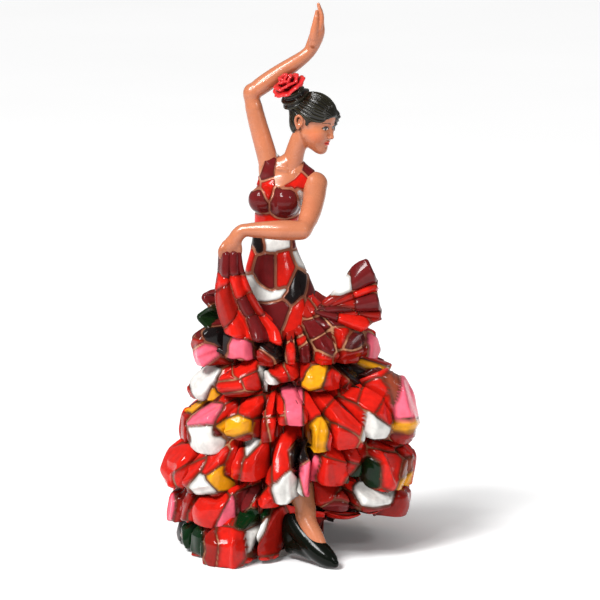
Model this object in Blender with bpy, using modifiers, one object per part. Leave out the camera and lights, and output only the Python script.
"""Souvenir figurine of a dancer in a ruffled dress, cast in resin as separate pieces.

The castings meet at flat glue joints, each located by a steel pin in a pair of blind holes.
The skirt is a stack of hollow flounce rings on a closing plate with a felt underside.

Frame: metres, +Z up, the front of the figurine faces -Y, and the origin is the centre of the felt.
Azimuths are measured round the skirt's axis from the front (-Y) towards +X, in degrees.
"""

import math
import random

import bmesh
import bpy
import numpy as np
from mathutils import Matrix, Vector

MM = 0.001

# Driving dimensions
FIT_GAP = 0.3 * MM  # between two castings at a glue joint
PIN_RADIUS = 0.9 * MM
PIN_HOLE_RADIUS = 1.25 * MM
PIN_LENGTH = 10 * MM
PIN_END_GAP = 0.5 * MM
WALL = 4 * MM  # castings of the skirt
FLOUNCE_THICKNESS = 2.6 * MM  # at the hem
UNDERCUT = 1 * MM  # how far the underside of a flounce is hollowed
RING_STEPS = 72  # facets round a flounce ring
FELT_TOP = 1.2 * MM
PLATE_BOTTOM, PLATE_TOP = 1.5 * MM, 4.5 * MM
SKIRT_DEPTH_SHARE = 0.9  # the flounces are a little flatter from front to back than from side to side
MERGE = 1e-5

# Palette: colour, roughness, metallic
PALETTE = {
    "red_enamel": ((0.72, 0.02, 0.01), 0.2, 0.0),
    "maroon_enamel": ((0.22, 0.01, 0.012), 0.2, 0.0),
    "skin_enamel": ((0.72, 0.3, 0.16), 0.3, 0.0),
    "hair_enamel": ((0.012, 0.012, 0.008), 0.2, 0.0),
    "shoe_enamel": ((0.004, 0.008, 0.005), 0.25, 0.0),
    "rose_enamel": ((0.7, 0.02, 0.03), 0.3, 0.0),
    "bare_resin": ((0.6, 0.5, 0.4), 0.6, 0.0),
    "felt": ((0.02, 0.08, 0.04), 0.9, 0.0),
    "steel": ((0.55, 0.55, 0.56), 0.3, 1.0),
}


def at(x, y, z):
    """A point given in millimetres."""
    return Vector((x, y, z)) * MM


# Skeleton of the dancer
WAIST = at(-9, 0, 169)
SHOULDER_RAISED, ELBOW_RAISED, WRIST_RAISED = at(-13.2, 2, 206), at(-21.2, 6, 251), at(12.2, 9, 276)
FINGERTIP_RAISED = at(15.4, 8, 300)
SHOULDER_LOWERED, ELBOW_LOWERED, WRIST_LOWERED = at(14, -2, 201), at(6.5, -28, 180), at(-28, -25, 177)
NECK_BASE, NECK_TOP = at(0.5, 1.5, 212), at(7.5, 0, 229)
SKULL = at(12.5, -2.0, 237)
FACE_YAW, FACE_PITCH = math.radians(58), math.radians(16)
ROSE = at(-1.2, -1.4, 256)

# Skirt tiers from the top, in mm: z of the ring's top and seat, wall radius at both, hem's height,
# hem radius, fold depth, number of folds, shift of the hem's centre in x
TIERS = {
    "skirt_tier_1": dict(
        top=112, seat=88, wall=(25, 31), hem=83,
        radius=46, fold=6.0, folds=13, shift=-3, seed=3,
    ),
    "skirt_tier_2": dict(
        top=87.7, seat=62, wall=(31, 38), hem=56,
        radius=60, fold=7.0, folds=15, shift=3, seed=5,
    ),
    "skirt_tier_3": dict(
        top=61.7, seat=37, wall=(38, 44), hem=32,
        radius=62.5, fold=7.0, folds=16, shift=0, seed=8,
    ),
    "skirt_tier_4": dict(
        top=36.7, seat=4.8, wall=(44, 48), hem=1.6,
        radius=61.5, fold=7.0, folds=16, shift=-1, seed=13,
    ),
}
OVERSKIRT = dict(
    top=141, seat=114, wall=(24.8, 29.5), hem=110,
    radius=43, fold=5.0, folds=12, shift=-1, seed=21,
)
OVERSKIRT_WALL, OVERSKIRT_LEAN = 2.8 * MM, -4 * MM  # the ring's wall, and the shift of its top in x
CREASE_LIFT = 3 * MM  # the hem rises where a fold turns in
NOTCH_AZIMUTH, NOTCH_HALF_WIDTH, NOTCH_SHARE = 12, 34, 0.5  # where the hem tier steps back behind the shoe
LIFT_AZIMUTH, LIFT_HALF_WIDTH, LIFT_HEIGHT = 66, 62, 12 * MM  # where the hem is swept up off the ground
PLATE_EDGE = 0.34  # of its radius: the closing plate ends straight there, out of sight


# ---------------------------------------------------------------- scene and materials


def clear_scene():
    for obj in list(bpy.data.objects):
        bpy.data.objects.remove(obj)


def collection_of(name):
    made = bpy.data.collections.new(name)
    bpy.context.scene.collection.children.link(made)
    return made


def make_materials():
    made = {}
    for name, (colour, roughness, metallic) in PALETTE.items():
        material = bpy.data.materials.new(name)
        material.use_nodes = True
        shader = material.node_tree.nodes["Principled BSDF"]
        shader.inputs["Base Color"].default_value = (*colour, 1)
        shader.inputs["Roughness"].default_value = roughness
        shader.inputs["Metallic"].default_value = metallic
        made[name] = material
    return made


clear_scene()
PARTS = collection_of("dancer_figurine")
CUTTERS = collection_of("cutters")
MATERIALS = make_materials()


def link(obj, name, material=None, collection=PARTS):
    """Names the object, moves it to its collection and gives it its one material."""
    obj.name = name
    for other in list(obj.users_collection):
        other.objects.unlink(obj)
    collection.objects.link(obj)
    if material:
        obj.data.materials.clear()
        obj.data.materials.append(MATERIALS[material])
    if collection is CUTTERS:
        obj.hide_render = True
        obj.display_type = "WIRE"
    return obj


def realise(obj):
    """A mesh object in place of a curve or of an object with modifiers, with its end caps welded."""
    bpy.context.view_layer.update()
    graph = bpy.context.evaluated_depsgraph_get()
    mesh = bpy.data.meshes.new_from_object(obj.evaluated_get(graph))
    made = bpy.data.objects.new("realised", mesh)
    made.matrix_world = obj.matrix_world
    bpy.context.scene.collection.objects.link(made)
    bpy.data.objects.remove(obj)
    cage = bmesh.new()
    cage.from_mesh(mesh)
    bmesh.ops.remove_doubles(cage, verts=cage.verts, dist=MERGE)
    bmesh.ops.recalc_face_normals(cage, faces=cage.faces)
    if cage.calc_volume(signed=True) < 0:
        bmesh.ops.reverse_faces(cage, faces=cage.faces)
    cage.to_mesh(mesh)
    cage.free()
    return made


def smooth(obj, angle=50):
    obj.data.shade_smooth()
    obj.data.set_sharp_from_angle(angle=math.radians(angle))


def boolean(obj, other, operation):
    modifier = obj.modifiers.new(operation.lower(), "BOOLEAN")
    modifier.operation = operation
    modifier.object = other
    return modifier


def cut(obj, *cutters):
    for cutter in cutters:
        boolean(obj, cutter, "DIFFERENCE")


def join(obj, *others):
    """Boolean union with helper shapes, which stay out of the model."""
    for other in others:
        boolean(obj, other, "UNION")


# ---------------------------------------------------------------- basic shapes


def tube(name, points, radii, material=None, collection=PARTS, sides=3):
    """A limb: a round tube along a smooth line, with its own radius (mm) at each point."""
    curve = bpy.data.curves.new(name, "CURVE")
    curve.dimensions = "3D"
    curve.bevel_depth = 1 * MM
    curve.bevel_resolution = sides
    curve.use_fill_caps = True
    spline = curve.splines.new("POLY")
    line, thickness = smooth_line(points, radii)
    spline.points.add(len(line) - 1)
    for point, place, radius in zip(spline.points, line, thickness):
        point.co = (*place, 1)
        point.radius = radius
    obj = bpy.data.objects.new(name, curve)
    bpy.context.scene.collection.objects.link(obj)
    obj = realise(obj)
    smooth(obj, 80)
    return link(obj, name, material, collection)


def smooth_line(points, radii, per_span=4):
    """Catmull-Rom points through a hand-placed line, and the radii between them."""
    padded = [2 * points[0] - points[1], *points, 2 * points[-1] - points[-2]]
    line, thickness = [], []
    for i in range(len(points) - 1):
        a, b, c, d = padded[i : i + 4]
        for step in range(per_span):
            t = step / per_span
            bend, twist = 2 * a - 5 * b + 4 * c - d, 3 * b - a - 3 * c + d
            line.append(0.5 * (2 * b + (c - a) * t + bend * t**2 + twist * t**3))
            thickness.append(radii[i] + (radii[i + 1] - radii[i]) * t)
    return [*line, points[-1]], [*thickness, radii[-1]]


def ellipsoid(name, centre, radii, turn=None, material=None, collection=PARTS, segments=20, rings=12):
    """Radii in mm; turn is a rotation matrix."""
    bpy.ops.mesh.primitive_uv_sphere_add(segments=segments, ring_count=rings, radius=1)
    obj = bpy.context.object
    obj.data.transform(Matrix.Diagonal((*(r * MM for r in radii), 1)))
    if turn is not None:
        obj.data.transform(turn)
    obj.location = centre
    obj.data.shade_smooth()
    return link(obj, name, material, collection)


def cylinder_between(name, start, end, radius, material=None, collection=PARTS, sides=16):
    axis = end - start
    bpy.ops.mesh.primitive_cylinder_add(vertices=sides, radius=radius, depth=axis.length)
    obj = bpy.context.object
    obj.rotation_mode = "QUATERNION"
    obj.rotation_quaternion = axis.to_track_quat("Z", "Y")
    obj.location = (start + end) / 2
    smooth(obj)
    return link(obj, name, material, collection)


def half_space(name, point, outward, size=60 * MM):
    """A box cutter that takes away everything past a plane."""
    bpy.ops.mesh.primitive_cube_add(size=size)
    obj = bpy.context.object
    obj.rotation_mode = "QUATERNION"
    obj.rotation_quaternion = outward.to_track_quat("Z", "Y")
    obj.location = point + outward.normalized() * size / 2
    return link(obj, name, collection=CUTTERS)


def pin_joint(name, point, axis, *castings):
    """A steel pin across a glue joint, and its blind hole in each casting."""
    half = axis.normalized() * PIN_LENGTH / 2
    cylinder_between(name, point - half, point + half, PIN_RADIUS, "steel")
    room = axis.normalized() * (PIN_LENGTH / 2 + PIN_END_GAP)
    hole = cylinder_between(name + "_hole", point - room, point + room, PIN_HOLE_RADIUS, collection=CUTTERS)
    for casting in castings:
        cut(casting, hole)


# ---------------------------------------------------------------- ruffles


def fold_pattern(folds, seed):
    """The azimuths (degrees) at which the folds of a flounce start, of uneven widths."""
    widths = random.Random(seed)
    shares = [1 + widths.uniform(-0.3, 0.3) for _ in range(folds)]
    edges = np.cumsum([0, *shares]) / sum(shares) * 360 - 180
    return edges


def fold_at(azimuth, edges):
    """-1 in the crease between two folds, 1 on a fold's crown."""
    azimuth = (azimuth + 180) % 360 - 180
    i = min(int(np.searchsorted(edges, azimuth, side="right")) - 1, len(edges) - 2)
    phase = (azimuth - edges[i]) / (edges[i + 1] - edges[i])
    return 2 * abs(math.sin(math.pi * phase)) ** 0.7 - 1


def bump(azimuth, centre, half_width):
    """A smooth rise from 0 to 1 and back, round one azimuth."""
    away = abs((azimuth - centre + 180) % 360 - 180) / half_width
    return 0 if away >= 1 else (1 - away**2) ** 2


def notch_at(azimuth):
    return NOTCH_SHARE * bump(azimuth, NOTCH_AZIMUTH, NOTCH_HALF_WIDTH)


def turned_ring(profile, steps=RING_STEPS):
    """A closed profile of (radius, z) in metres, turned round Z: a ring-shaped solid."""
    mesh = bpy.data.meshes.new("profile")
    places = [(radius, 0, z) for radius, z in profile]
    edges = [(i, (i + 1) % len(places)) for i in range(len(places))]
    mesh.from_pydata(places, edges, [])
    obj = bpy.data.objects.new("profile", mesh)
    bpy.context.scene.collection.objects.link(obj)
    screw = obj.modifiers.new("turn", "SCREW")
    screw.steps = screw.render_steps = steps
    screw.use_merge_vertices = True
    screw.merge_threshold = MERGE
    return realise(obj)


def flounce_ring(name, tier, material, notched=False, wall=WALL, lean=0, room=0, collection=PARTS):
    """A skirt tier: a short hollow cone with a ruffled flounce hanging round it.

    The room, if any, is added to the outer face, for a cutter that clears the flounce.
    """
    top, seat, hem = (tier[key] * MM for key in ("top", "seat", "hem"))
    wall_top, wall_seat = (radius * MM for radius in tier["wall"])
    out = tier["radius"] * MM
    reach = out - wall_top
    thick = FLOUNCE_THICKNESS
    drop = top - hem
    profile = [
        (wall_seat - wall, seat),
        (wall_top - wall, top),
        (wall_top, top + room),
        (wall_top + 0.35 * reach + room, top - 0.20 * drop + room),
        (wall_top + 0.72 * reach + room, top - 0.44 * drop + room),
        (wall_top + 0.95 * reach + room, top - 0.74 * drop + room),
        (out + room, hem),
        (out - thick, hem),
        ((out + wall_seat) / 2, (seat + hem) / 2 + UNDERCUT),
        (wall_seat, seat),
    ]
    ring = turned_ring(profile)
    edges = fold_pattern(tier["folds"], tier["seed"])
    for vertex in ring.data.vertices:
        x, y, z = vertex.co
        radius, azimuth = math.hypot(x, y), math.degrees(math.atan2(x, -y))
        hang = min(1, max(0, (radius - wall_seat - 1 * MM) / (out - wall_seat)))
        hang = hang * hang * (3 - 2 * hang)
        fold = fold_at(azimuth, edges)
        radius += fold * tier["fold"] * MM * hang
        z += (1 - fold) / 2 * CREASE_LIFT * hang
        if notched:
            radius *= 1 - notch_at(azimuth)
            z += LIFT_HEIGHT * bump(azimuth, LIFT_AZIMUTH, LIFT_HALF_WIDTH) * hang * min(1, (top - z) / drop)
        turn = math.radians(azimuth)
        depth = 1 - (1 - SKIRT_DEPTH_SHARE) * hang
        vertex.co = (
            radius * math.sin(turn) + tier["shift"] * MM * hang + lean * (z - seat) / (top - seat),
            -radius * math.cos(turn) * depth,
            z,
        )
    smooth(ring, 60)
    return link(ring, name, material, collection)


def notched_disc(name, radius, bottom, top, material):
    """A flat disc with the hem tier's notch in its outline, cut off straight under the swept-up hem."""
    curve = bpy.data.curves.new(name, "CURVE")
    curve.dimensions = "2D"
    curve.fill_mode = "BOTH"
    curve.extrude = (top - bottom) / 2
    spline = curve.splines.new("POLY")
    spline.points.add(RING_STEPS - 1)
    spline.use_cyclic_u = True
    for i, point in enumerate(spline.points):
        azimuth = 360 * i / RING_STEPS
        turn = math.radians(azimuth)
        reach = radius * (1 - notch_at(azimuth))
        if reach * math.sin(turn) > radius * PLATE_EDGE:
            reach = radius * PLATE_EDGE / math.sin(turn)
        point.co = (reach * math.sin(turn), -reach * math.cos(turn), 0, 1)
    obj = bpy.data.objects.new(name, curve)
    bpy.context.scene.collection.objects.link(obj)
    obj.location = (0, 0, (bottom + top) / 2)
    return link(realise(obj), name, material)


# ---------------------------------------------------------------- the skirt


def make_skirt():
    notched_disc("underside_felt", 44 * MM, 0, FELT_TOP, "felt")
    notched_disc("closing_plate", 47.6 * MM, PLATE_BOTTOM, PLATE_TOP, "bare_resin")
    for name, tier in TIERS.items():
        flounce_ring(name, tier, "red_enamel", notched=name == "skirt_tier_4")
    overskirt = dict(wall=OVERSKIRT_WALL, lean=OVERSKIRT_LEAN)
    flounce_ring("overskirt_flounce", OVERSKIRT, "maroon_enamel", **overskirt)
    return flounce_ring("overskirt_room", OVERSKIRT, None, **overskirt, room=0.8 * MM, collection=CUTTERS)


def make_hips():
    """The fitted upper skirt: an oval cone under the waist, from the waist joint to the top tier."""
    line = [at(-2, 0, 112.3), at(-5, 0, 138), at(-8, 0, 153), WAIST - at(0, 0, FIT_GAP / MM)]
    hips = tube("hip_casting", line, [23.5, 19.5, 16.5, 11.2], "maroon_enamel", sides=5)
    for vertex in hips.data.vertices:
        vertex.co.y *= 0.86
    level = Vector((0, 0, 1))
    cut(hips, half_space("hip_floor_cut", at(0, 0, 112.3), -level))
    cut(hips, half_space("hip_waist_cut", WAIST - level * FIT_GAP, level))
    return hips


def make_train(overskirt_room):
    """The swept-up end of the overskirt: a fan of corrugated cloth on the dancer's left."""
    rows, columns = 8, 28
    bpy.ops.mesh.primitive_grid_add(x_subdivisions=rows, y_subdivisions=columns, size=1)
    fan = bpy.context.object
    root = at(13.5, -25, 134)
    for vertex in fan.data.vertices:
        along, across = vertex.co.x + 0.5, vertex.co.y + 0.5
        angle = math.radians(-22 + 66 * across)
        reach = (8 + (21 + 9 * across**0.8) * along) * MM
        ripple = 2.2 * MM * along * math.sin(across * math.tau * 3.5)
        vertex.co = root + Vector((reach * math.cos(angle), ripple + 3 * MM * along, reach * math.sin(angle)))
    solidify = fan.modifiers.new("cloth", "SOLIDIFY")
    solidify.thickness = 2.4 * MM
    solidify.offset = 0
    fan = realise(fan)
    smooth(fan, 60)
    cut(fan, overskirt_room)
    return link(fan, "train_fan", "maroon_enamel")


def make_drape(overskirt_room):
    """The cloth gathered in the lowered hand, hanging to the overskirt, and the ruffles behind it."""
    drape = tube(
        "held_drape",
        [at(-34, -24, 160.5), at(-33.5, -24, 148), at(-30, -25, 132)],
        [5, 5.5, 7.5],
        "maroon_enamel",
    )
    cascade = tube(
        "side_cascade",
        [at(-29, 8, 147), at(-38, 5, 140), at(-46, 3, 130.5)],
        [5, 7, 6],
        "maroon_enamel",
    )
    cut(drape, overskirt_room)
    cut(cascade, overskirt_room)
    return drape, cascade


# ---------------------------------------------------------------- the dancer


def make_bodice():
    line = [WAIST, at(-7.5, 0, 181), at(-3.5, 0, 195), at(0, 0.5, 204), at(0.5, 1.5, 212)]
    bodice = tube("bodice", line, [11.2, 12.6, 15, 16.5, 6.3], "red_enamel", sides=5)
    for vertex in bodice.data.vertices:
        vertex.co.y *= 0.78
    bust = [
        ellipsoid("bust_" + side, centre, (6.8, 6.2, 6.8), collection=CUTTERS)
        for side, centre in (("right", at(-14.5, -8, 194)), ("left", at(-3, -10.5, 193.5)))
    ]
    join(bodice, *bust)
    up = Vector((0, 0, 1))
    cut(bodice, half_space("bodice_waist_cut", WAIST, -up), half_space("bodice_neck_cut", NECK_BASE, up))
    return bodice


def arm_socket(name, line, radii, bodice):
    """Room in the bodice for the root of an arm, one fit gap larger than the arm all round."""
    back = (line[0] - line[1]).normalized() * FIT_GAP
    gap = FIT_GAP / MM
    cut(bodice, tube(name, [line[0] + back, *line[1:3]], [r + gap for r in radii[:3]], collection=CUTTERS))


def make_raised_arm(bodice):
    wrist, tip = WRIST_RAISED, FINGERTIP_RAISED
    line = [
        SHOULDER_RAISED,
        SHOULDER_RAISED.lerp(ELBOW_RAISED, 0.5),
        ELBOW_RAISED,
        ELBOW_RAISED.lerp(wrist, 0.4),
        wrist,
        at(18, 8.5, 287),
        tip,
    ]
    radii = [5.8, 4.4, 4.7, 4.6, 3.1, 3.7, 1.2]
    arm_socket("raised_arm_socket", line, radii, bodice)
    arm = tube("raised_arm", line, radii, "skin_enamel")
    thumb_line = [at(14, 8, 280), at(13, 6, 286), at(12.6, 5, 290)]
    thumb = tube("thumb", thumb_line, [2.2, 1.7, 0.8], collection=CUTTERS)
    join(arm, thumb)
    return arm


def make_lowered_arm(bodice):
    line = [
        SHOULDER_LOWERED,
        SHOULDER_LOWERED.lerp(ELBOW_LOWERED, 0.55),
        ELBOW_LOWERED,
        ELBOW_LOWERED.lerp(WRIST_LOWERED, 0.4),
        WRIST_LOWERED,
        at(-34, -24, 165),
        at(-34.5, -24, 161),
    ]
    radii = [6.0, 5.2, 5.0, 4.7, 3.3, 4.6, 4.4]
    arm_socket("lowered_arm_socket", line, radii, bodice)
    return tube("lowered_arm", line, radii, "skin_enamel")


def face_turn():
    """Turns +Y, the way the face looks when it is built, to the dancer's own gaze."""
    gaze = Vector((math.sin(FACE_YAW), -math.cos(FACE_YAW), -math.tan(FACE_PITCH)))
    return gaze.to_track_quat("Y", "Z").to_matrix().to_4x4()


def neck_shape(name, gap):
    line = [at(-0.5, 1.5, 208), NECK_BASE, NECK_TOP, at(10, -1, 236)]
    return tube(name, line, [r + gap for r in (5.6, 5.4, 4.8, 4.6)], collection=CUTTERS)


def make_head():
    turn = face_turn()
    skull = ellipsoid("head", SKULL, (9.3, 11.6, 15.4), turn, "skin_enamel")
    join(skull, neck_shape("neck", 0))
    cut(skull, half_space("neck_cut", NECK_BASE + Vector((0, 0, FIT_GAP)), Vector((0, 0, -1))))
    return skull


def make_hair():
    """A cap over the skull with the face left open, and the chignon behind it."""
    turn = face_turn()
    gaze, crown = turn @ Vector((0, 1, 0)), turn @ Vector((0, 0, 1))
    cap = ellipsoid("hair_cap", SKULL + crown * 1.2 * MM, (11.2, 13.6, 16.4), turn, "hair_enamel")
    room = ellipsoid("skull_room", SKULL, (9.7, 12.0, 15.8), turn, collection=CUTTERS)
    cut(cap, room, neck_shape("neck_room", 0.4))
    hairline = SKULL + (gaze * 2 + crown * 1) * MM
    open_face = half_space("face_opening", hairline, (gaze - crown * 0.75).normalized())
    cut(cap, open_face)
    bun_place = SKULL - gaze * 15.2 * MM + crown * 7.5 * MM
    bun = ellipsoid("chignon", bun_place, (6.4, 5.2, 6.4), turn, "hair_enamel")
    cap_room = ellipsoid("cap_room", SKULL + crown * 1.2 * MM, (11.5, 13.9, 16.7), turn, collection=CUTTERS)
    cut(bun, cap_room)
    return bun_place


def make_rose(bun_place):
    """A many-petalled flower on the chignon: a cupped ball with the chignon's room cut from it."""
    centre = ROSE
    rose = ellipsoid("hair_rose", centre, (7.6, 6.6, 6.6), face_turn(), "rose_enamel", segments=24, rings=14)
    for vertex in rose.data.vertices:
        ripple = math.sin(5 * math.atan2(vertex.co.x, vertex.co.z)) * math.sin(vertex.co.y / MM)
        vertex.co *= 1 + 0.06 * ripple
    bun_room = ellipsoid("bun_room", bun_place, (6.7, 5.5, 6.7), face_turn(), collection=CUTTERS)
    cut(rose, bun_room)
    return rose


def make_foot():
    """A bare leg from under the third tier, in a heeled court shoe."""
    ankle = at(8.5, -45, 30)
    leg = tube(
        "leg",
        [at(8.5, -41.5, 36.2), ankle, at(14, -51.5, 20.5)],
        [4.6, 4.0, 3.6],
        "skin_enamel",
    )
    top_cut = half_space("leg_top_cut", at(8.5, -41.5, 36.4), Vector((0, 0, 1)), size=30 * MM)
    cut(leg, top_cut)
    shoe = tube(
        "shoe",
        [
            at(0.5, -41.5, 23), at(6.5, -45.5, 17), at(13.5, -52.5, 8.6),
            at(20.5, -59, 5), at(24.5, -62.5, 3.2),
        ],
        [3.4, 5.0, 5.0, 4.2, 1.6],
        "shoe_enamel",
    )
    heel = tube("heel_block", [at(1.4, -40.6, 19), at(1.4, -39.6, 4.8)], [3.4, 2.8], collection=CUTTERS)
    join(shoe, heel)
    leg_room = tube(
        "leg_room",
        [at(8.4, -41, 38), ankle, at(14.4, -52, 20)],
        [4.9, 4.3, 3.9],
        collection=CUTTERS,
    )
    cut(shoe, leg_room, half_space("floor_cut", at(10, -50, 0.4), Vector((0, 0, -1))))
    return leg, shoe


def make_dancer():
    hips, bodice = make_hips(), make_bodice()
    raised, lowered = make_raised_arm(bodice), make_lowered_arm(bodice)
    raised_axis = (SHOULDER_RAISED.lerp(ELBOW_RAISED, 0.5) - SHOULDER_RAISED).normalized()
    lowered_axis = (SHOULDER_LOWERED.lerp(ELBOW_LOWERED, 0.55) - SHOULDER_LOWERED).normalized()
    head = make_head()
    make_rose(make_hair())
    make_foot()
    pin_joint("waist_pin", WAIST, Vector((0, 0, 1)), hips, bodice)
    pin_joint("neck_pin", NECK_BASE, Vector((0, 0, 1)), bodice, head)
    pin_joint("raised_arm_pin", SHOULDER_RAISED, raised_axis, bodice, raised)
    pin_joint("lowered_arm_pin", SHOULDER_LOWERED, lowered_axis, bodice, lowered)


OVERSKIRT_ROOM = make_skirt()
make_drape(OVERSKIRT_ROOM)
make_train(OVERSKIRT_ROOM)
make_dancer()
